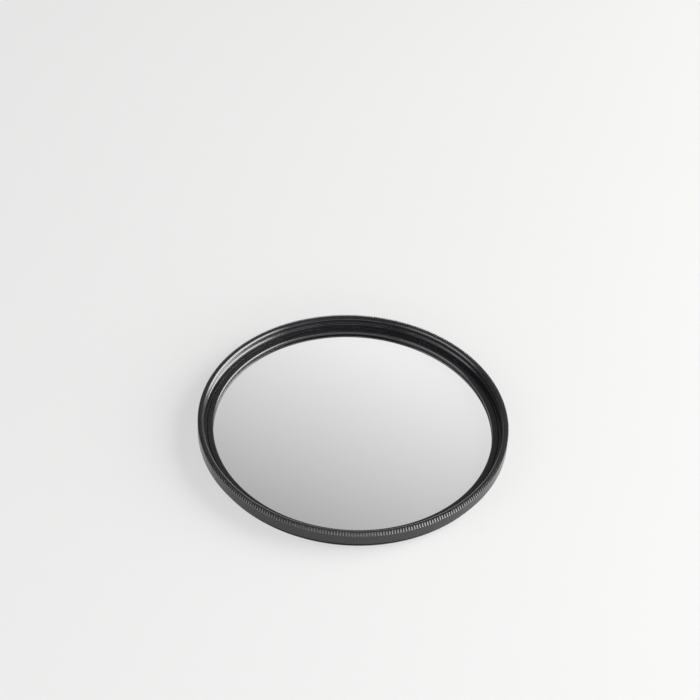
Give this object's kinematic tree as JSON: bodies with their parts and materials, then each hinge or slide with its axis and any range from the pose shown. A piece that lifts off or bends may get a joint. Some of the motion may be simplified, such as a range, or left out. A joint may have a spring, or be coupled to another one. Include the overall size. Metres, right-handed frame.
{
  "type": "screw-in lens filter",
  "caption": "Round screw-in lens filter: flat grey graduated glass held by a retaining ring in a thin knurled black frame with a male rear thread and a female front thread.",
  "frame": {"origin": "centre of the rear end face, on the optical axis", "axes": "+Z along the optical axis towards the front (female thread) side; X and Y across the glass, with the glass lightest towards +Y and +X"},
  "size_m": [0.079, 0.079, 0.0057],
  "materials": {
    "frame_black": "satin black anodised, fine turned, knurled grip band",
    "ring_black": "satin black anodised, fine turned",
    "grey_glass": "polished, soft neutral grey gradient"
  },
  "bodies": {
    "root": {"filter_frame": "frame_black", "retaining_ring": "ring_black", "filter_glass": "grey_glass"}
  },
  "joints": []
}
